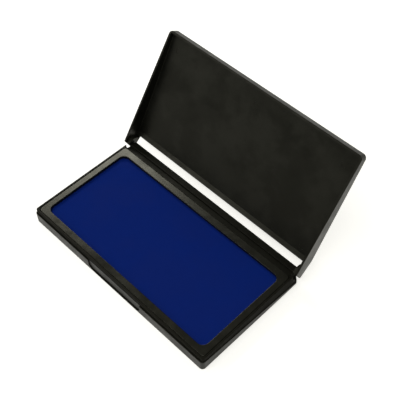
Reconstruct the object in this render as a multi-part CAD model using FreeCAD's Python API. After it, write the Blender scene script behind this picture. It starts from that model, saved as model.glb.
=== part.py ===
"""Stamp ink pad in a hinged plastic case: eight pieces, lid modelled shut and then swung open.

Millimetres. X runs along the case, +Y towards the hinge, +Z up. The origin is the middle of the
case's flat underside.
"""
import FreeCAD, Part
import os
from FreeCAD import Vector

# --- case ---
CASE_LENGTH = 160.5          # along X, at the foot of the walls
CASE_WIDTH = 90.0            # along Y, at the foot of the walls
RIM_HEIGHT = 11.8            # top of the tray's walls
CORNER_RADIUS = 2.6          # upright corners of the tray's foot
FLOOR_THICKNESS = 1.6
RIM_WALL = 1.2               # wall above the ledge
EDGE_ROUND = 0.3             # small rounding of moulded edges

# --- sloping ledge that the lid's skirt comes down on ---
LEDGE_DEPTH = 1.0            # how far the front wall steps in above the ledge
LEDGE_END_DEPTH = 0.55       # how far the end walls step in
LEDGE_ROUND = 0.5            # rounding of the ledge's outer edge
LEDGE_FRONT_HEIGHT = 8.8     # at the front face
LEDGE_REAR_HEIGHT = 2.0      # at the hinge line

# --- finger recess in the front wall ---
FINGER_WIDTH = 49.0
FINGER_DEPTH = 0.8
FINGER_FOOT = 1.0            # strip left below the recess
FINGER_CORNER = 4.0

# --- rear deck between the pad and the hinge ---
DECK_DEPTH = 8.6             # along Y, from the rear face
DECK_DROP = 1.0              # deck's front band below the rim
DECK_REAR_DROP = 0.8         # deck's rear band below the rim
RIDGE_WIDTH = 0.9            # rib along the deck
RIDGE_INSET = 4.7            # rib's middle to the rear face
RIDGE_ROUND = 0.3            # rounding of the rib's two top edges
DECK_SKIN = 1.4              # plastic left above the hollow under the deck
DECK_REAR_WALL = 1.7
DECK_FRONT_WALL = 1.8
HINGE_BLOCK = 6.0            # solid block at each end of the deck

# --- hinge ---
HINGE_INSET = 1.5            # pin's axis to the rear face
HINGE_DROP = 2.4             # pin's axis below the rim
PIN_RADIUS = 0.8
PIN_GRIP = 3.4               # length pressed into the tray
PIN_CLEARANCE = 0.05         # radial, in the lid's ear
PIN_END_GAP = 0.3            # between the pin's end and the bottom of its hole
EAR_SKIN = 0.5               # plastic left outside the pin's hole
BOSS_RADIUS = 5.7            # round thickening inside each ear
BOSS_THICKNESS = 2.65
BOSS_SIDE_GAP = 0.3          # between boss and tray, along X
BOSS_ROUND_GAP = 0.8         # between boss and tray, all round
BOSS_RIM_GAP = 0.3           # between the boss's upper corner and the tray's rim
FOOT_CHAMFER = 4.0           # tray's two rear corners, cut off square to the diagonal
OPEN_ANGLE = 120.0           # how far the lid swings back from shut

# --- lid ---
LID_WALL = 1.5
LID_TOP = 1.6
LID_SIDE_GAP = 0.25          # between the tray's stepped-in wall and the lid's skirt
LID_LEDGE_GAP = 0.15         # between the ledge and the skirt's rim
LID_HEADROOM = 1.2           # above the tray's rim, inside the shut lid
LID_CORNER = 3.0             # upright front corners, outside
EAR_CHAMFER_RUN = 9.3        # chamfer's start, in front of the hinge axis
EAR_TIP_BACK = 3.7           # ear's tip behind the hinge axis
EAR_TIP_UP = 0.7             # ear's tip above the hinge axis
EAR_FOOT_FORWARD = 1.3       # ear's lowest point in front of the hinge axis
EAR_ROUND = 1.2
LIP_START = 10.2             # turned-down rear edge of the lid's top, from the hinge axis
LIP_CREST = 7.2
LIP_END = 6.2
LIP_DEPTH = 1.0
LUG_SPACING = 54.6           # between the two small lugs on the lid's front edge
LUG_LENGTH = 5.0
LUG_WIDTH = 1.6
LUG_HEIGHT = 0.8
MARK_RADIUS = 2.1            # round moulding marks inside the lid
MARK_DEPTH = 0.15
MARK_SPACING = 71.5
MARK_FRONT_Y = -34.0
MARK_REAR_Y = 29.0

# --- pad frame ---
FRAME_GROOVE = 0.35          # gap between tray wall and frame, all round
FRAME_DROP = 0.2             # frame's top below the rim
FRAME_THICKNESS = 2.2
FRAME_BORDER = 4.45          # front and ends
FRAME_REAR_BORDER = 5.25
FRAME_SKIRT = 1.2
FRAME_CORNER = 2.2
OPENING_CORNER = 4.6
FRAME_INNER_ROUND = 0.35
FRAME_OUTER_ROUND = 0.4

# --- pad ---
PAD_TUCK = 2.0               # pad reaches this far under the frame
PAD_TOP_GAP = 0.1            # between the cloth and the frame above it
CLOTH_THICKNESS = 0.5
BOARD_THICKNESS = 1.2
PAD_CORNER = 5.0

# --- places worked out from the sizes above ---
HALF_LENGTH = CASE_LENGTH / 2
FRONT_Y = -CASE_WIDTH / 2
REAR_Y = CASE_WIDTH / 2
HINGE_Y = REAR_Y - HINGE_INSET
HINGE_Z = RIM_HEIGHT - HINGE_DROP
BAND_X = HALF_LENGTH - LEDGE_END_DEPTH
BAND_FRONT_Y = FRONT_Y + LEDGE_DEPTH
POCKET_X = BAND_X - RIM_WALL
POCKET_FRONT_Y = BAND_FRONT_Y + RIM_WALL
DECK_Y = REAR_Y - DECK_DEPTH
LID_INNER_X = BAND_X + LID_SIDE_GAP
LID_X = LID_INNER_X + LID_WALL
LID_INNER_FRONT_Y = BAND_FRONT_Y - LID_SIDE_GAP
LID_FRONT_Y = LID_INNER_FRONT_Y - LID_WALL
LID_INNER_Z = RIM_HEIGHT + LID_HEADROOM
LID_TOP_Z = LID_INNER_Z + LID_TOP
BOSS_X = LID_INNER_X - BOSS_THICKNESS
BLOCK_X = BOSS_X - BOSS_SIDE_GAP
FRAME_X = POCKET_X - FRAME_GROOVE
FRAME_FRONT_Y = POCKET_FRONT_Y + FRAME_GROOVE
FRAME_REAR_Y = DECK_Y - FRAME_GROOVE
FRAME_TOP_Z = RIM_HEIGHT - FRAME_DROP
FRAME_UNDER_Z = FRAME_TOP_Z - FRAME_THICKNESS
OPENING_X = FRAME_X - FRAME_BORDER
OPENING_FRONT_Y = FRAME_FRONT_Y + FRAME_BORDER
OPENING_REAR_Y = FRAME_REAR_Y - FRAME_REAR_BORDER
PAD_X = OPENING_X + PAD_TUCK
PAD_FRONT_Y = OPENING_FRONT_Y - PAD_TUCK
PAD_REAR_Y = OPENING_REAR_Y + PAD_TUCK
CLOTH_TOP_Z = FRAME_UNDER_Z - PAD_TOP_GAP
BOARD_TOP_Z = FLOOR_THICKNESS + BOARD_THICKNESS
EAR_FOOT_Y = HINGE_Y - EAR_FOOT_FORWARD
CHAMFER_Y = HINGE_Y - EAR_CHAMFER_RUN
EAR_TIP_Z = HINGE_Z + EAR_TIP_UP

# --- working values ---
BEYOND = 10.0                # how far cutting tools run past what they cut
TINY = 1e-6                  # slack when places are compared


def ledge_z(y):
    """Height of the sloping ledge at a place along Y."""
    share = (y - FRONT_Y) / (HINGE_Y - FRONT_Y)
    return LEDGE_FRONT_HEIGHT + share * (LEDGE_REAR_HEIGHT - LEDGE_FRONT_HEIGHT)


def block(x0, x1, y0, y1, z0, z1):
    """Box between two corners."""
    return Part.makeBox(x1 - x0, y1 - y0, z1 - z0, Vector(x0, y0, z0))


def round_edges(shape, radius, wanted):
    """Fillet the edges whose middle point passes the test."""
    edges = []
    for edge in shape.Edges:
        middle = edge.valueAt((edge.FirstParameter + edge.LastParameter) / 2)
        if wanted(edge, middle):
            edges.append(edge)
    return shape.makeFillet(radius, edges)


def is_upright(edge):
    """True for a straight edge along Z."""
    start = edge.Vertexes[0].Point
    end = edge.Vertexes[-1].Point
    return abs(start.x - end.x) < TINY and abs(start.y - end.y) < TINY


def slab(half_x, y0, y1, z0, z1, radius):
    """Flat block, centred on X, with rounded upright corners."""
    plain = block(-half_x, half_x, y0, y1, z0, z1)
    return round_edges(plain, radius, lambda edge, middle: is_upright(edge))


def front_rounded_slab(half_x, y0, y1, z0, z1, radius):
    """The same, with only the two front corners rounded."""
    plain = block(-half_x, half_x, y0, y1, z0, z1)

    def front_corner(edge, middle):
        return is_upright(edge) and middle.y < y0 + TINY

    return round_edges(plain, radius, front_corner)


def side_profile(points, x0, x1):
    """Solid whose outline in the YZ plane is the given points, between two places along X."""
    corners = [Vector(x0, y, z) for y, z in points]
    outline = Part.makePolygon(corners + corners[:1])
    return Part.Face(outline).extrude(Vector(x1 - x0, 0, 0))


def rod(radius, x0, x1, y, z):
    """Round bar along X."""
    return Part.makeCylinder(radius, x1 - x0, Vector(x0, y, z), Vector(1, 0, 0))


def both_ends(shape):
    """A shape at the +X end and its mirror image at the other end."""
    return [shape, shape.mirror(Vector(0, 0, 0), Vector(1, 0, 0))]


def make_tray():
    """Bottom half of the case: stepped walls, floor, rear deck and hinge blocks."""
    foot = slab(HALF_LENGTH, FRONT_Y, REAR_Y, 0, RIM_HEIGHT, CORNER_RADIUS)
    band_corner = CORNER_RADIUS - LEDGE_DEPTH
    above = RIM_HEIGHT + BEYOND
    kept = front_rounded_slab(BAND_X, BAND_FRONT_Y, REAR_Y + BEYOND, -BEYOND, above, band_corner)
    near = FRONT_Y - BEYOND
    far = REAR_Y + BEYOND
    above_ledge = side_profile(
        [(near, ledge_z(near)), (far, ledge_z(far)), (far, above), (near, above)],
        -HALF_LENGTH - BEYOND, HALF_LENGTH + BEYOND)
    tray = foot.cut(above_ledge.cut(kept))

    def outer_edge(edge, middle):
        on_foot = middle.z < TINY
        on_rim = middle.z > RIM_HEIGHT - TINY
        return on_foot or on_rim

    def ledge_edge(edge, middle):
        on_ledge = abs(middle.z - ledge_z(middle.y)) < TINY and middle.y < REAR_Y - TINY
        return on_ledge and (abs(middle.x) > BAND_X + TINY or middle.y < BAND_FRONT_Y - TINY)

    tray = round_edges(tray, EDGE_ROUND, outer_edge)
    tray = round_edges(tray, LEDGE_ROUND, ledge_edge)
    pocket_corner = FRAME_CORNER + FRAME_GROOVE
    tray = tray.cut(slab(POCKET_X, POCKET_FRONT_Y, DECK_Y, FLOOR_THICKNESS, above, pocket_corner))
    tray = tray.cut(Part.makeCompound(deck_cuts()))
    tray = round_edges(tray, RIDGE_ROUND, rib_edge)
    return tray.cut(Part.makeCompound(notch_cuts() + [finger_cut()] + pin_holes()))


def rib_edge(edge, middle):
    """True for the two long top edges of the rib on the deck."""
    half_width = abs(middle.y - (REAR_Y - RIDGE_INSET))
    along_x = abs(edge.Vertexes[0].Point.x - edge.Vertexes[-1].Point.x) > HALF_LENGTH
    return along_x and abs(half_width - RIDGE_WIDTH / 2) < TINY and middle.z > RIM_HEIGHT - TINY


def deck_cuts():
    """Bands each side of the rib on the deck, and the hollow below the deck."""
    rib_y = REAR_Y - RIDGE_INSET
    top = RIM_HEIGHT + BEYOND
    front_band = block(-POCKET_X, POCKET_X, DECK_Y - EDGE_ROUND, rib_y - RIDGE_WIDTH / 2,
                       RIM_HEIGHT - DECK_DROP, top)
    rear_band = block(-HALF_LENGTH - BEYOND, HALF_LENGTH + BEYOND, rib_y + RIDGE_WIDTH / 2, REAR_Y + BEYOND,
                      RIM_HEIGHT - DECK_REAR_DROP, top)
    hollow_x = BLOCK_X - HINGE_BLOCK
    hollow = block(-hollow_x, hollow_x, DECK_Y + DECK_FRONT_WALL, REAR_Y - DECK_REAR_WALL,
                   -BEYOND, RIM_HEIGHT - DECK_DROP - DECK_SKIN)
    return [front_band, rear_band, hollow]


def notch_cuts():
    """Rear corners: a round notch that the ear's boss turns in, and the foot's corner cut off."""
    outer = HALF_LENGTH + BEYOND
    round_part = rod(BOSS_RADIUS + BOSS_ROUND_GAP, BLOCK_X, outer, HINGE_Y, HINGE_Z)
    upper_part = block(BLOCK_X, outer, HINGE_Y, REAR_Y + BEYOND, HINGE_Z, RIM_HEIGHT + BEYOND)
    corner = [Vector(HALF_LENGTH - FOOT_CHAMFER - BEYOND, REAR_Y + BEYOND, -BEYOND),
              Vector(outer, REAR_Y + BEYOND, -BEYOND),
              Vector(outer, REAR_Y - FOOT_CHAMFER - BEYOND, -BEYOND)]
    wedge = Part.Face(Part.makePolygon(corner + corner[:1])).extrude(Vector(0, 0, RIM_HEIGHT + 2 * BEYOND))
    return both_ends(round_part.fuse([upper_part, wedge]))


def finger_cut():
    """Shallow recess in the front wall, open at the top, with rounded lower corners."""
    plain = block(-FINGER_WIDTH / 2, FINGER_WIDTH / 2, FRONT_Y - BEYOND, FRONT_Y + FINGER_DEPTH,
                  FINGER_FOOT, RIM_HEIGHT + BEYOND)

    def lower_side(edge, middle):
        along_y = abs(edge.Vertexes[0].Point.y - edge.Vertexes[-1].Point.y) > BEYOND / 2
        return along_y and middle.z < FINGER_FOOT + TINY

    return round_edges(plain, FINGER_CORNER, lower_side)


def pin_holes():
    """Blind holes for the hinge pins in the two hinge blocks."""
    return both_ends(rod(PIN_RADIUS, BLOCK_X - PIN_GRIP, BLOCK_X + BEYOND, HINGE_Y, HINGE_Z))


def ear_outline():
    """Side view of the shut lid, from the front of its rim round to the ear's lowest point."""
    return [
        (LID_FRONT_Y, ledge_z(LID_FRONT_Y) + LID_LEDGE_GAP),
        (LID_FRONT_Y, LID_TOP_Z),
        (CHAMFER_Y, LID_TOP_Z),
        (HINGE_Y + EAR_TIP_BACK, EAR_TIP_Z),
        (EAR_FOOT_Y, ledge_z(EAR_FOOT_Y) + LID_LEDGE_GAP),
    ]


def make_shut_lid():
    """Lid in its shut place: top, sloping skirt, turned-down rear edge and two ears."""
    shell = side_profile(ear_outline(), -LID_X, LID_X)

    def ear_corner(edge, middle):
        along_x = abs(edge.Vertexes[0].Point.x - edge.Vertexes[-1].Point.x) > LID_X
        return along_x and middle.y > EAR_FOOT_Y - TINY

    shell = round_edges(shell, EAR_ROUND, ear_corner)

    def front_corner(edge, middle):
        return is_upright(edge) and middle.y < LID_FRONT_Y + TINY

    shell = round_edges(shell, LID_CORNER, front_corner)

    def top_edge(edge, middle):
        on_flat_top = middle.z > LID_TOP_Z - TINY and middle.y < CHAMFER_Y - TINY
        on_end = abs(middle.x) > LID_X - TINY
        return on_flat_top or (on_end and middle.y > CHAMFER_Y and middle.z > EAR_TIP_Z)

    shell = round_edges(shell, EDGE_ROUND, top_edge)
    inside = front_rounded_slab(LID_INNER_X, LID_INNER_FRONT_Y, REAR_Y + BEYOND, -BEYOND, LID_INNER_Z,
                                LID_CORNER - LID_WALL)
    inside = round_edges(inside, EDGE_ROUND, lambda edge, middle: middle.z > LID_INNER_Z - TINY)
    lid = shell.cut(inside)
    behind_lip = block(-LID_INNER_X, LID_INNER_X, HINGE_Y - LIP_END, REAR_Y + BEYOND, 0, LID_TOP_Z + BEYOND)
    lid = lid.cut(behind_lip)
    lid = lid.fuse([rear_lip()] + ear_bosses() + front_lugs()).removeSplitter()
    return lid.cut(Part.makeCompound(ear_holes() + moulding_marks()))


def chamfer_z(y):
    """Height of the lid's rear chamfer at a place along Y."""
    run = EAR_CHAMFER_RUN + EAR_TIP_BACK
    fall = LID_TOP_Z - EAR_TIP_Z
    return LID_TOP_Z - (y - CHAMFER_Y) * fall / run


def rear_lip():
    """Turned-down bead along the rear edge of the lid's top."""
    root_y = HINGE_Y - LIP_START
    end_y = HINGE_Y - LIP_END
    bead = side_profile(
        [(root_y, LID_INNER_Z), (HINGE_Y - LIP_CREST, LID_INNER_Z - LIP_DEPTH), (end_y, LID_INNER_Z),
         (end_y, chamfer_z(end_y)), (root_y, LID_INNER_Z + LID_TOP / 2)],
        -LID_INNER_X, LID_INNER_X)

    def crest(edge, middle):
        return middle.z < LID_INNER_Z - LIP_DEPTH + TINY and abs(middle.x) < TINY

    return round_edges(bead, EDGE_ROUND, crest)


def ear_bosses():
    """Thick part inside each ear: round about the pin, with a corner reaching up to the lid's rear lip."""
    within_wall = LID_INNER_X + LID_WALL / 2
    disc = rod(BOSS_RADIUS, BOSS_X, within_wall, HINGE_Y, HINGE_Z)
    disc = round_edges(disc, EDGE_ROUND, lambda edge, middle: edge.BoundBox.XMax < BOSS_X + TINY)
    corner = block(BOSS_X, within_wall, HINGE_Y - LIP_CREST, HINGE_Y, RIM_HEIGHT + BOSS_RIM_GAP, LID_TOP_Z)
    outline = side_profile(ear_outline(), BOSS_X - BEYOND, within_wall)
    return both_ends(disc.fuse(corner).common(outline))


def front_lugs():
    """Two small lugs on top of the lid's front edge."""
    centre = LUG_SPACING / 2
    lug = block(centre - LUG_LENGTH / 2, centre + LUG_LENGTH / 2, LID_FRONT_Y + EDGE_ROUND,
                LID_FRONT_Y + EDGE_ROUND + LUG_WIDTH, LID_TOP_Z - LID_TOP / 2, LID_TOP_Z + LUG_HEIGHT)
    lug = round_edges(lug, EDGE_ROUND, lambda edge, middle: middle.z > LID_TOP_Z)
    return both_ends(lug)


def ear_holes():
    """Blind running holes for the hinge pins."""
    return both_ends(rod(PIN_RADIUS + PIN_CLEARANCE, BOSS_X - BEYOND, LID_X - EAR_SKIN, HINGE_Y, HINGE_Z))


def moulding_marks():
    """Shallow round marks on the inside of the lid's top."""
    marks = []
    for x in (-MARK_SPACING, 0, MARK_SPACING):
        for y in (MARK_FRONT_Y, MARK_REAR_Y):
            base = Vector(x, y, LID_INNER_Z - MARK_DEPTH)
            marks.append(Part.makeCylinder(MARK_RADIUS, 2 * MARK_DEPTH, base))
    return marks


def make_lid():
    """Lid swung open about the hinge pins."""
    lid = make_shut_lid()
    lid.rotate(Vector(0, HINGE_Y, HINGE_Z), Vector(1, 0, 0), -OPEN_ANGLE)
    return lid


def make_pad_frame():
    """Frame that holds the pad down, with a skirt standing on the tray's floor."""
    frame = slab(FRAME_X, FRAME_FRONT_Y, FRAME_REAR_Y, FLOOR_THICKNESS, FRAME_TOP_Z, FRAME_CORNER)
    under = slab(FRAME_X - FRAME_SKIRT, FRAME_FRONT_Y + FRAME_SKIRT, FRAME_REAR_Y - FRAME_SKIRT,
                 FLOOR_THICKNESS - BEYOND, FRAME_UNDER_Z, FRAME_CORNER - FRAME_SKIRT)
    opening = slab(OPENING_X, OPENING_FRONT_Y, OPENING_REAR_Y, 0, FRAME_TOP_Z + BEYOND, OPENING_CORNER)
    frame = frame.cut(under).cut(opening)

    def round_opening(middle, reach):
        within_y = OPENING_FRONT_Y - reach < middle.y < OPENING_REAR_Y + reach
        return abs(middle.x) < OPENING_X + reach and within_y

    def inner_top(edge, middle):
        return middle.z > FRAME_TOP_Z - TINY and round_opening(middle, TINY)

    frame = round_edges(frame, FRAME_INNER_ROUND, inner_top)

    def outer_top(edge, middle):
        on_top = middle.z > FRAME_TOP_Z - TINY
        return on_top and not round_opening(middle, FRAME_INNER_ROUND + TINY)

    return round_edges(frame, FRAME_OUTER_ROUND, outer_top)


def make_board():
    """Stiff board under the felt."""
    return slab(PAD_X, PAD_FRONT_Y, PAD_REAR_Y, FLOOR_THICKNESS, BOARD_TOP_Z, PAD_CORNER)


def make_felt():
    """Felt block that holds the ink."""
    return slab(PAD_X - CLOTH_THICKNESS, PAD_FRONT_Y + CLOTH_THICKNESS, PAD_REAR_Y - CLOTH_THICKNESS,
                BOARD_TOP_Z, CLOTH_TOP_Z - CLOTH_THICKNESS, PAD_CORNER - CLOTH_THICKNESS)


def make_cloth():
    """Cover cloth over the felt's top and sides."""
    outside = slab(PAD_X, PAD_FRONT_Y, PAD_REAR_Y, BOARD_TOP_Z, CLOTH_TOP_Z, PAD_CORNER)
    return outside.cut(make_felt())


def make_pin():
    """Hinge pin at the +X end."""
    outer_end = LID_X - EAR_SKIN - PIN_END_GAP
    return rod(PIN_RADIUS, BLOCK_X - PIN_GRIP, outer_end, HINGE_Y, HINGE_Z)


def write_parts():
    """Build every piece and write one STEP file for each."""
    pin_right, pin_left = both_ends(make_pin())
    pieces = {
        "base_tray": make_tray(),
        "lid": make_lid(),
        "pad_frame": make_pad_frame(),
        "ink_cloth": make_cloth(),
        "ink_felt": make_felt(),
        "pad_backing_board": make_board(),
        "hinge_pin_left": pin_left,
        "hinge_pin_right": pin_right,
    }
    os.makedirs("parts", exist_ok=True)
    for name, shape in pieces.items():
        solid = shape.Solids[0] if len(shape.Solids) == 1 else shape
        solid.exportStep("parts/" + name + ".step")
        box = solid.BoundBox
        print(name, "solids", len(shape.Solids), "valid", shape.isValid(), "volume", round(shape.Volume, 1),
              [round(value, 2) for value in (box.XMin, box.YMin, box.ZMin, box.XMax, box.YMax, box.ZMax)])


write_parts()
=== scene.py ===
"""Looks of an open stamp ink pad: plastics, inked cloth over felt, studio and camera.

The frame gives every hard piece. The cloth and the felt are built here. Lengths are in metres.
"""

import math

import bmesh
import bpy
from mathutils import Matrix, Vector, noise


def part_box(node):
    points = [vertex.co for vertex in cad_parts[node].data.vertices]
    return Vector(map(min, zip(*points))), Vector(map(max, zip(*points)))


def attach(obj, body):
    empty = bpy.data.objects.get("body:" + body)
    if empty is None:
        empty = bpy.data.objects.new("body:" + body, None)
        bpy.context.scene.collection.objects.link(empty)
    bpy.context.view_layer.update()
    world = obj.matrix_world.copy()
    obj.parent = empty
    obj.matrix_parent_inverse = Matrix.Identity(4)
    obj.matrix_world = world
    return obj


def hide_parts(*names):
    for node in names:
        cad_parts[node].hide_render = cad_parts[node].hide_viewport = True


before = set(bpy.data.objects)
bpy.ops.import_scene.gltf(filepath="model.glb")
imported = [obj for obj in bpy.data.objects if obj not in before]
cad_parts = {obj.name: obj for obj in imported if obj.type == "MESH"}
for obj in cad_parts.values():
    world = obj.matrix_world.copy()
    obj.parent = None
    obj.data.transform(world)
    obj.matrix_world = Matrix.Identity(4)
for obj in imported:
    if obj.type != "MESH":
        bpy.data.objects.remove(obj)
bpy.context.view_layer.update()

MM = 0.001

# --- camera ---
CAMERA_AZIMUTH = math.radians(45.3)
CAMERA_ELEVATION = math.radians(52.13)
CAMERA_ROLL = math.radians(-0.55)
CAMERA_DISTANCE = 549.73 * MM
CAMERA_TARGET = Vector((-12.37, 45.9, 0)) * MM
CAMERA_LENS = 70.67
CAMERA_SENSOR = 36.0

# --- studio ---
WORLD_COLOUR = (1.0, 0.99, 0.93, 1)
WORLD_LEVEL = 0.17
FLOOR_SIZE = 6.0
FLOOR_COLOUR = (0.86, 0.855, 0.83, 1)
FLOOR_GLOW = 0.62
FLOOR_GLOW_COLOUR = (1.0, 0.99, 0.94, 1)

# --- case, repeated from the design ---
LEDGE_FRONT_HEIGHT = 8.8 * MM
LEDGE_REAR_HEIGHT = 2.0 * MM
HINGE_INSET = 1.5 * MM
LID_OPEN_ANGLE = math.radians(120)

# --- plastic ---
SPECULAR_TINT = (1.0, 0.97, 0.76, 1)
CLOUD_CONTRAST = 1.5
WORN_EDGE = 0.35 * MM
# painted shade: darker colour for the stepped-in band above the ledge
BAND_SHADE_COLOUR = (0.0028, 0.0027, 0.0015, 1)
BAND_EXTRA_ROUGHNESS = 0.5

# --- cloth and felt ---
CLOTH_THICKNESS = 0.5 * MM
CLOTH_STEP = 1.0 * MM
CLOTH_BEND = 1.6 * MM
PAD_CORNER = 5.0 * MM
PAD_CROWN = 0.22 * MM
PAD_RELIEF = 0.03 * MM
PAD_RELIEF_SIZE = 9 * MM
FELT_STEP = 2.5 * MM
FELT_CLEARANCE = 0.06 * MM
THREAD_PITCH = 0.42 * MM


# ---------------------------------------------------------------- materials

class Shader:
    """A material being wired: one Principled surface, and short calls for the nodes behind it."""

    def __init__(self, name):
        self.material = bpy.data.materials.new(name)
        self.material.use_nodes = True
        self.tree = self.material.node_tree
        self.surface = self.tree.nodes["Principled BSDF"]
        coordinates = self.add("ShaderNodeTexCoord")
        self.place = coordinates.outputs["Object"]
        self.facing = coordinates.outputs["Normal"]

    def add(self, kind, inputs=None, **settings):
        node = self.tree.nodes.new(kind)
        for key, value in settings.items():
            setattr(node, key, value)
        for key, value in (inputs or {}).items():
            self.feed(node.inputs[key], value)
        return node

    def feed(self, socket, value):
        if isinstance(value, bpy.types.NodeSocket):
            self.tree.links.new(value, socket)
        else:
            socket.default_value = value

    def set(self, **values):
        """Feed the surface. An underscore in a name stands for a space."""
        for key, value in values.items():
            self.feed(self.surface.inputs[key.replace("_", " ")], value)

    def maths(self, operation, first, second=0.0):
        node = self.add("ShaderNodeMath", {0: first, 1: second}, operation=operation)
        return node.outputs["Value"]

    def dot(self, first, second):
        node = self.add("ShaderNodeVectorMath", {0: first, 1: second}, operation="DOT_PRODUCT")
        return node.outputs["Value"]

    def stretched(self, scale):
        node = self.add("ShaderNodeVectorMath", {0: self.place, 1: scale}, operation="MULTIPLY")
        return node.outputs["Vector"]

    def noise(self, size, detail=3.0, roughness=0.55, place=None):
        """Noise whose blobs are about this big."""
        inputs = {"Vector": place or self.place, "Scale": 1 / size,
                  "Detail": detail, "Roughness": roughness}
        return self.add("ShaderNodeTexNoise", inputs).outputs["Fac"]

    def cells(self, size):
        """Distance to the nearest of many scattered points about this far apart."""
        node = self.add("ShaderNodeTexVoronoi", {"Vector": self.place, "Scale": 1 / size})
        return node.outputs["Distance"]

    def remap(self, value, low, high, out_low, out_high):
        inputs = {"Value": value, "From Min": low, "From Max": high, "To Min": out_low, "To Max": out_high}
        return self.add("ShaderNodeMapRange", inputs, interpolation_type="SMOOTHSTEP").outputs["Result"]

    def mix(self, share, first, second):
        node = self.add("ShaderNodeMix", {"Factor": share}, data_type="RGBA")
        self.feed(node.inputs[6], first)
        self.feed(node.inputs[7], second)
        return node.outputs[2]

    def two_tone(self, value, low, high, first, second):
        """Blend from one colour to the other as the value goes from low to high."""
        return self.mix(self.remap(value, low, high, 0.0, 1.0), first, second)

    def bump(self, height, depth, strength=1.0, below=None):
        """Relief this deep, on top of another relief if one is given."""
        inputs = {"Height": height, "Distance": depth, "Strength": strength}
        if below is not None:
            inputs["Normal"] = below
        return self.add("ShaderNodeBump", inputs).outputs["Normal"]


def edge_wear(shader, radius):
    """1 on sharp edges, 0 on flats: how far a rounded-off normal leans from the true one."""
    rounded = shader.add("ShaderNodeBevel", {"Radius": radius}, samples=4).outputs["Normal"]
    true = shader.add("ShaderNodeNewGeometry").outputs["Normal"]
    return shader.remap(shader.dot(rounded, true), 0.99, 0.80, 0.0, 1.0)


def scratches(shader, across, along, share):
    """Fine hairlines, long one way and short the other, as a mask."""
    lines = shader.noise(1.0, 2.0, 0.5, shader.stretched((1 / across, 1 / along, 1 / across)))
    return shader.remap(lines, share, share + 0.02, 0.0, 1.0)


def moulded_plastic(name, colour, worn, rough, grain_depth, specular):
    """Black moulded plastic: cloudy tone, fine grain, hairlines and rubbed edges.

    The colour and roughness are kept as shader.base and shader.rough, for a piece to build on.
    """
    shader = Shader(name)
    cloud = shader.noise(28 * MM, 4.0, 0.6)
    lighter = tuple(CLOUD_CONTRAST * c for c in colour[:3]) + (1,)
    base = shader.two_tone(cloud, 0.3, 0.7, colour, lighter)
    wear = edge_wear(shader, WORN_EDGE)
    patchy = shader.remap(shader.noise(4 * MM, 4.0, 0.7), 0.42, 0.62, 0.1, 1.0)
    rubbed = shader.maths("MULTIPLY", wear, patchy)
    base = shader.mix(rubbed, base, worn)
    dust = shader.remap(shader.noise(0.35 * MM, 1.0, 0.4), 0.74, 0.80, 0.0, 0.35)
    shader.base = shader.mix(dust, base, worn)
    hair = scratches(shader, 0.12 * MM, 9 * MM, 0.70)
    mottled = shader.remap(shader.noise(11 * MM, 4.0, 0.6), 0.3, 0.7, rough - 0.05, rough + 0.07)
    shader.rough = shader.maths("ADD", mottled, shader.maths("MULTIPLY", hair, 0.12))
    grain = shader.noise(0.28 * MM, 3.0, 0.7)
    relief = shader.bump(grain, grain_depth, 0.6)
    relief = shader.bump(hair, 0.004 * MM, 0.4, relief)
    shader.set(Base_Color=shader.base, Roughness=shader.rough, Normal=relief,
               Specular_IOR_Level=specular, Specular_Tint=SPECULAR_TINT)
    return shader


def tray_plastic():
    """Case bottom: the stepped-in band above the sloping ledge is etched matt, and its colour is darkened
    as painted shade.
    """
    shader = moulded_plastic(
        "case_plastic", colour=(0.0052, 0.0052, 0.0036, 1), worn=(0.035, 0.034, 0.027, 1),
        rough=0.36, grain_depth=0.018 * MM, specular=0.12)
    low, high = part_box("base_tray")
    slope = (LEDGE_REAR_HEIGHT - LEDGE_FRONT_HEIGHT) / (high.y - HINGE_INSET - low.y)
    split = shader.add("ShaderNodeSeparateXYZ", {"Vector": shader.place})
    ledge = shader.maths("ADD", shader.maths("MULTIPLY", split.outputs["Y"], slope),
                         LEDGE_FRONT_HEIGHT - low.y * slope)
    over_ledge = shader.maths("SUBTRACT", split.outputs["Z"], ledge)
    above = shader.remap(over_ledge, 0.05 * MM, 0.25 * MM, 0.0, 1.0)
    upright = shader.add("ShaderNodeSeparateXYZ", {"Vector": shader.facing}).outputs["Z"]
    on_wall = shader.remap(shader.maths("ABSOLUTE", upright), 0.55, 0.35, 0.0, 1.0)
    band = shader.maths("MULTIPLY", above, on_wall)
    matt = shader.maths("MULTIPLY", band, BAND_EXTRA_ROUGHNESS)
    # the band's colour is darkened as painted shade; its extra roughness is a real matt finish
    shader.set(Base_Color=shader.mix(band, shader.base, BAND_SHADE_COLOUR),
               Roughness=shader.maths("ADD", shader.rough, matt))
    return shader.material


def lid_plastic():
    """Lid: grained plastic; on the inside, lighter soft patches are painted into the colour as sheen."""
    shader = moulded_plastic(
        "lid_plastic", colour=(0.0060, 0.0062, 0.0044, 1), worn=(0.040, 0.039, 0.031, 1),
        rough=0.33, grain_depth=0.016 * MM, specular=0.22)
    inward = (0.0, -math.sin(LID_OPEN_ANGLE), -math.cos(LID_OPEN_ANGLE))
    inside = shader.remap(shader.dot(shader.facing, inward), 0.85, 0.97, 0.0, 1.0)
    # painted sheen: lighter soft patches on the inside's colour stand in for soft reflections
    sheen_noise = shader.noise(34 * MM, 5.0, 0.62)
    painted_sheen = shader.two_tone(sheen_noise, 0.42, 0.62, (0.0050, 0.0052, 0.0040, 1), (0.0120, 0.0122, 0.0098, 1))
    shader.set(Base_Color=shader.mix(inside, shader.base, painted_sheen))
    return shader.material


def frame_plastic():
    """Pad frame: the smoothest plastic of the case, with a soft sheen."""
    shader = moulded_plastic(
        "frame_plastic", colour=(0.0062, 0.0064, 0.0048, 1), worn=(0.036, 0.036, 0.029, 1),
        rough=0.21, grain_depth=0.004 * MM, specular=0.40)
    return shader.material


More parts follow.
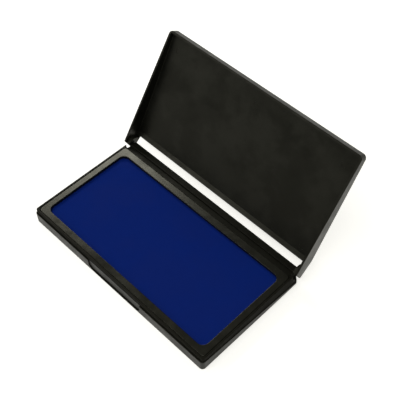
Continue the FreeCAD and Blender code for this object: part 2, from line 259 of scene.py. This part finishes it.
def inked_cloth():
    """Close plain weave, soaked: warp and weft cross over and under, with damp variation. Painted shading
    makes one thread direction lighter, and painted shade darkens the gaps between threads.
    """
    shader = Shader("inked_cloth")
    split = shader.add("ShaderNodeSeparateXYZ", {"Vector": shader.place})
    turns = math.pi / THREAD_PITCH
    wander = shader.maths("MULTIPLY", shader.noise(3 * MM, 2.0), 0.6)

    def threads(axis):
        phase = shader.maths("MULTIPLY", split.outputs[axis], turns)
        return shader.maths("SINE", shader.maths("ADD", phase, wander))

    crossing = shader.maths("MULTIPLY", threads("X"), threads("Y"))
    crown = shader.maths("POWER", shader.maths("ABSOLUTE", crossing), 0.5)
    fibre = shader.noise(0.09 * MM, 2.0, 0.6)
    # painted shading: one thread direction is made lighter than the other
    thread_shading = shader.two_tone(crossing, -0.2, 0.2, (0.0023, 0.0178, 0.176, 1), (0.0027, 0.0208, 0.200, 1))
    # painted shade: the gaps between threads, where the crown is low, are darkened
    woven = shader.two_tone(crown, 0.15, 0.55, (0.0011, 0.0093, 0.105, 1), thread_shading)
    damp = shader.remap(shader.noise(22 * MM, 4.0, 0.55), 0.35, 0.68, 0.0, 1.0)
    colour = shader.mix(shader.maths("MULTIPLY", damp, 0.30), woven, (0.0016, 0.0131, 0.144, 1))
    wetness = shader.remap(damp, 0.0, 1.0, 0.70, 0.58)
    rough = shader.maths("ADD", wetness, shader.maths("MULTIPLY", fibre, 0.12))
    relief = shader.bump(crown, 0.06 * MM, 0.7)
    relief = shader.bump(fibre, 0.01 * MM, 0.5, relief)
    shader.set(Base_Color=colour, Roughness=rough, Normal=relief, Specular_IOR_Level=0.05,
               Sheen_Weight=0.01, Sheen_Roughness=0.5, Sheen_Tint=(0.1, 0.3, 1.0, 1))
    return shader.material


def felt_wool():
    """Dense wool felt full of ink: matted short fibres, no threads."""
    shader = Shader("inked_felt")
    matted = shader.noise(0.5 * MM, 5.0, 0.75)
    clumps = shader.noise(5 * MM, 4.0, 0.6)
    colour = shader.two_tone(matted, 0.35, 0.65, (0.004, 0.014, 0.10, 1), (0.010, 0.030, 0.20, 1))
    colour = shader.mix(shader.remap(clumps, 0.4, 0.7, 0.0, 0.4), colour, (0.003, 0.009, 0.06, 1))
    relief = shader.bump(shader.cells(0.3 * MM), 0.08 * MM, 0.6)
    relief = shader.bump(matted, 0.12 * MM, 0.8, relief)
    shader.set(Base_Color=colour, Roughness=shader.remap(matted, 0.3, 0.7, 0.8, 0.95), Normal=relief,
               Sheen_Weight=0.25, Sheen_Roughness=0.6)
    return shader.material


def grey_board():
    """Pressed board: pulp flecks and short lay lines."""
    shader = Shader("grey_board")
    pulp = shader.noise(0.7 * MM, 5.0, 0.7)
    flecks = shader.remap(shader.noise(0.4 * MM, 1.0, 0.4), 0.70, 0.76, 0.0, 0.7)
    lay = shader.noise(1.0, 2.0, 0.5, shader.stretched((1 / (6 * MM), 1 / (0.5 * MM), 1 / (0.5 * MM))))
    colour = shader.two_tone(pulp, 0.3, 0.7, (0.19, 0.15, 0.10, 1), (0.30, 0.25, 0.18, 1))
    colour = shader.mix(flecks, colour, (0.07, 0.055, 0.04, 1))
    relief = shader.bump(pulp, 0.03 * MM, 0.6)
    relief = shader.bump(lay, 0.02 * MM, 0.4, relief)
    shader.set(Base_Color=colour, Roughness=shader.remap(lay, 0.3, 0.7, 0.82, 0.94), Normal=relief)
    return shader.material


def drawn_steel():
    """Drawn wire: fine lines along the pin and a dull bright finish."""
    shader = Shader("pin_steel")
    draw = shader.noise(1.0, 3.0, 0.6, shader.stretched((1 / (8 * MM), 1 / (0.05 * MM), 1 / (0.05 * MM))))
    colour = shader.two_tone(draw, 0.3, 0.7, (0.46, 0.46, 0.47, 1), (0.62, 0.62, 0.61, 1))
    shader.set(Base_Color=colour, Metallic=1.0, Roughness=shader.remap(draw, 0.3, 0.7, 0.22, 0.38),
               Normal=shader.bump(draw, 0.004 * MM, 0.5))
    return shader.material


# ---------------------------------------------------------------- soft pieces

def square_to_disc(x, y, reach):
    """Move a point of a square corner patch into the quarter disc of the same reach."""
    u = x / reach
    v = y / reach
    return x * math.sqrt(1 - v * v / 2), y * math.sqrt(1 - u * u / 2)


def wrap(flat_x, flat_y, half_x, half_y, drop):
    """Lay a point of the flat cut over a block with round corners.

    Gives the place in plan and how far the point lies below the top.
    """
    bend = CLOTH_BEND
    run = PAD_CORNER - bend
    reach = run + bend * math.pi / 2 + drop
    core_x = half_x - PAD_CORNER
    core_y = half_y - PAD_CORNER
    out_x = max(abs(flat_x) - core_x, 0.0)
    out_y = max(abs(flat_y) - core_y, 0.0)
    if out_x and out_y:
        out_x, out_y = square_to_disc(out_x, out_y, reach)
    outward = math.hypot(out_x, out_y)
    if outward == 0:
        return flat_x, flat_y, 0.0
    turn = min(max(outward - run, 0.0) / bend, math.pi / 2)
    plan = min(outward, run) + bend * math.sin(turn)
    down = bend * (1 - math.cos(turn)) + max(outward - run - bend * math.pi / 2, 0.0)
    share = plan / outward
    x = math.copysign(min(abs(flat_x), core_x) + out_x * share, flat_x)
    y = math.copysign(min(abs(flat_y), core_y) + out_y * share, flat_y)
    return x, y, down


def crown_drop(x, y, half_x, half_y):
    """How far the pad's top lies below its highest point: a low dome that falls off near the edge."""
    u = abs(x) / half_x
    v = abs(y) / half_y
    dome = (1 - u ** 4) * (1 - v ** 4)
    relief = noise.noise(Vector((x, y, 0)) / PAD_RELIEF_SIZE)
    return PAD_CROWN * (1 - max(dome, 0.0)) + PAD_RELIEF * (1 - relief) / 2


def flat_cut(low, high, drop):
    """Half width and half length of the sheet that covers the block between two corners."""
    reach = CLOTH_BEND * (math.pi / 2 - 1) + drop
    return (high.x - low.x) / 2 + reach, (high.y - low.y) / 2 + reach


def wrapped_grid(mesh, low, high, top, drop, columns, lines):
    """A grid laid over the block between two corners. Returns its rows of vertices."""
    half_x = (high.x - low.x) / 2
    half_y = (high.y - low.y) / 2
    middle = (low + high) / 2
    flat_x, flat_y = flat_cut(low, high, drop)
    rows = []
    for j in range(lines + 1):
        row = []
        for i in range(columns + 1):
            x, y, down = wrap(flat_x * (2 * i / columns - 1), flat_y * (2 * j / lines - 1),
                              half_x, half_y, drop)
            fall = crown_drop(x, y, half_x, half_y) if down < drop else 0.0
            row.append(mesh.verts.new((middle.x + x, middle.y + y, top - down - fall)))
        rows.append(row)
    return rows


def fill_rows(mesh, rows, upward):
    for lower, upper in zip(rows, rows[1:]):
        for i in range(len(lower) - 1):
            corners = [lower[i], lower[i + 1], upper[i + 1], upper[i]]
            mesh.faces.new(corners if upward else corners[::-1])


def rim_of(rows):
    """The grid's outside vertices, in order round it."""
    right = [row[-1] for row in rows[1:-1]]
    left = [row[0] for row in rows[1:-1]]
    return rows[0] + right + rows[-1][::-1] + left[::-1]


def finished(name, mesh, material):
    """Turn a bmesh into a smooth-shaded piece that rides on the case."""
    bmesh.ops.recalc_face_normals(mesh, faces=mesh.faces)
    data = bpy.data.meshes.new(name)
    mesh.to_mesh(data)
    mesh.free()
    data.shade_smooth()
    data.materials.append(material)
    piece = bpy.data.objects.new(name, data)
    bpy.context.scene.collection.objects.link(piece)
    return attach(piece, "case")


def make_cloth():
    """Cover cloth: one woven sheet over the felt's top and down its sides, cut edge at the board."""
    low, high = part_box("ink_cloth")
    drop = high.z - low.z - CLOTH_BEND - PAD_RELIEF
    half_cut = flat_cut(low, high, drop)
    columns, lines = (2 * round(half / CLOTH_STEP) for half in half_cut)
    inset = Vector((CLOTH_THICKNESS, CLOTH_THICKNESS, 0))
    mesh = bmesh.new()
    outer = wrapped_grid(mesh, low, high, high.z, drop, columns, lines)
    inner = wrapped_grid(mesh, low + inset, high - inset, high.z - CLOTH_THICKNESS,
                         drop - CLOTH_THICKNESS, columns, lines)
    fill_rows(mesh, outer, True)
    fill_rows(mesh, inner, False)
    outer_rim = rim_of(outer)
    inner_rim = rim_of(inner)
    for i in range(len(outer_rim)):
        mesh.faces.new([outer_rim[i], outer_rim[i - 1], inner_rim[i - 1], inner_rim[i]])
    cloth = finished("cover_cloth", mesh, inked_cloth())
    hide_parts("ink_cloth")


def make_felt():
    """Felt block under the cloth: crowned top, rounded sides, flat where it rests on the board."""
    low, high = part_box("ink_felt")
    inset = Vector((FELT_CLEARANCE, FELT_CLEARANCE, 0))
    low = low + inset
    high = high - inset
    drop = high.z - low.z - CLOTH_BEND
    columns, lines = (2 * round(half / FELT_STEP) for half in flat_cut(low, high, drop))
    mesh = bmesh.new()
    top = wrapped_grid(mesh, low, high, high.z - FELT_CLEARANCE, drop, columns, lines)
    fill_rows(mesh, top, True)
    for vertex in rim_of(top):
        vertex.co.z = low.z
    mesh.faces.new(rim_of(top)[::-1])
    felt = finished("felt_block", mesh, felt_wool())
    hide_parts("ink_felt")


# ---------------------------------------------------------------- studio

def make_floor():
    """Plain pale floor that the object stands on."""
    mesh = bmesh.new()
    half = FLOOR_SIZE / 2
    outline = ((-half, -half), (half, -half), (half, half), (-half, half))
    mesh.faces.new([mesh.verts.new((x, y, 0)) for x, y in outline])
    data = bpy.data.meshes.new("studio_floor")
    mesh.to_mesh(data)
    mesh.free()
    shader = Shader("studio_floor")
    shader.set(Base_Color=FLOOR_COLOUR, Roughness=0.9, Specular_IOR_Level=0.0,
               Emission_Color=FLOOR_GLOW_COLOUR, Emission_Strength=FLOOR_GLOW)
    data.materials.append(shader.material)
    floor = bpy.data.objects.new("studio_floor", data)
    bpy.context.scene.collection.objects.link(floor)


def direction(azimuth, elevation):
    """Unit vector towards a compass place: azimuth 0 is the front, -Y, and 90 is +X. In degrees."""
    a = math.radians(azimuth)
    e = math.radians(elevation)
    return Vector((math.sin(a) * math.cos(e), -math.cos(a) * math.cos(e), math.sin(e)))


def softbox(name, azimuth, elevation, distance, width, height, power):
    """Rectangular lamp that faces the object."""
    data = bpy.data.lights.new(name, "AREA")
    data.shape = "RECTANGLE"
    data.size = width
    data.size_y = height
    data.energy = power
    lamp = bpy.data.objects.new(name, data)
    bpy.context.scene.collection.objects.link(lamp)
    back = direction(azimuth, elevation)
    lamp.location = back * distance
    lamp.rotation_euler = (-back).to_track_quat("-Z", "Y").to_euler()


def make_world():
    world = bpy.data.worlds.new("studio")
    world.use_nodes = True
    background = world.node_tree.nodes["Background"]
    background.inputs["Color"].default_value = WORLD_COLOUR
    background.inputs["Strength"].default_value = WORLD_LEVEL
    bpy.context.scene.world = world


def make_lights():
    """A big overhead key on the viewer's side, a low front left box and a window-like rear one."""
    softbox("key", azimuth=20, elevation=72, distance=1.1, width=0.9, height=0.7, power=4.6)
    softbox("low_front", azimuth=-33, elevation=29, distance=1.2, width=0.5, height=0.3, power=1.5)
    softbox("rear_window", azimuth=-123, elevation=40, distance=1.1, width=0.46, height=0.34, power=3.2)


def make_camera():
    """Camera at the object's front right, looking down."""
    back = Vector((math.sin(CAMERA_AZIMUTH) * math.cos(CAMERA_ELEVATION),
                   -math.cos(CAMERA_AZIMUTH) * math.cos(CAMERA_ELEVATION),
                   math.sin(CAMERA_ELEVATION)))
    level = Vector((math.cos(CAMERA_AZIMUTH), math.sin(CAMERA_AZIMUTH), 0))
    rise = back.cross(level)
    right = level * math.cos(CAMERA_ROLL) + rise * math.sin(CAMERA_ROLL)
    up = rise * math.cos(CAMERA_ROLL) - level * math.sin(CAMERA_ROLL)
    data = bpy.data.cameras.new("camera")
    data.lens = CAMERA_LENS
    data.sensor_width = CAMERA_SENSOR
    camera = bpy.data.objects.new("camera", data)
    bpy.context.scene.collection.objects.link(camera)
    turn = Matrix((right, up, back)).transposed().to_4x4()
    camera.matrix_world = Matrix.Translation(CAMERA_TARGET + back * CAMERA_DISTANCE) @ turn
    bpy.context.scene.camera = camera


def dress(node, material):
    """Give a carried-over CAD piece its finish."""
    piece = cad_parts[node]
    if not piece.material_slots:
        piece.data.materials.append(material)
    for slot in piece.material_slots:
        slot.material = material


dress("base_tray", tray_plastic())
dress("lid", lid_plastic())
dress("pad_frame", frame_plastic())
dress("pad_backing_board", grey_board())
steel = drawn_steel()
for pin in ("hinge_pin_left", "hinge_pin_right"):
    dress(pin, steel)
make_felt()
make_cloth()
make_floor()
make_world()
make_lights()
make_camera()
bpy.context.scene.view_settings.view_transform = "Standard"
